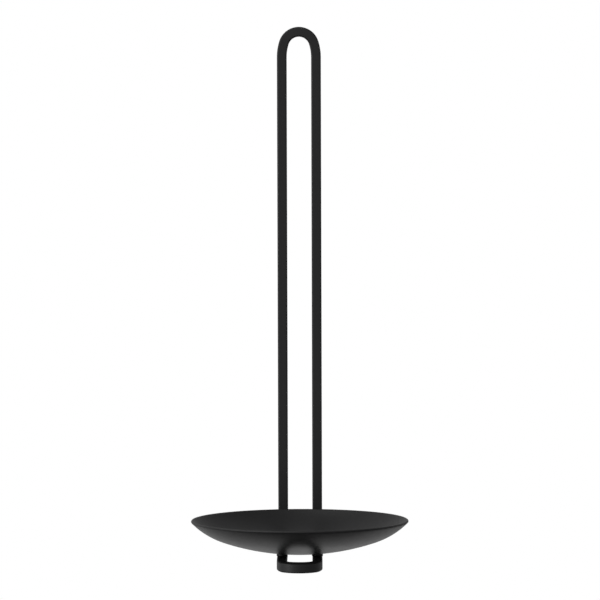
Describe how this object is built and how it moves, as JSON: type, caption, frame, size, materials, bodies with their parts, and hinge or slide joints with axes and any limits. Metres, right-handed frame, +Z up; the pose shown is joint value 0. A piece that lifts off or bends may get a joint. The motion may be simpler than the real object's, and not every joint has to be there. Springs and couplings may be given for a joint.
{
  "type": "wall tealight holder",
  "caption": "Wall holder for a tealight: a shallow round dish carried on a long loop of square steel bar that hangs flat on the wall and turns forward under it.",
  "frame": {"origin": "centre of the arc at the head of the top bow, in the plane of the wall, where the holder hangs on its screw", "axes": "+Z up along the uprights, -Y from the wall into the room, +X to the right as seen from the room"},
  "size_m": [0.13, 0.138, 0.3226],
  "materials": {
    "powder_coat": "matt black powder coat with a fine texture, on steel"
  },
  "bodies": {
    "root": {"loop_bar": "powder_coat", "closing_weld": "powder_coat", "dish": "powder_coat", "dish_weld_left": "powder_coat", "dish_weld_right": "powder_coat"}
  },
  "joints": []
}
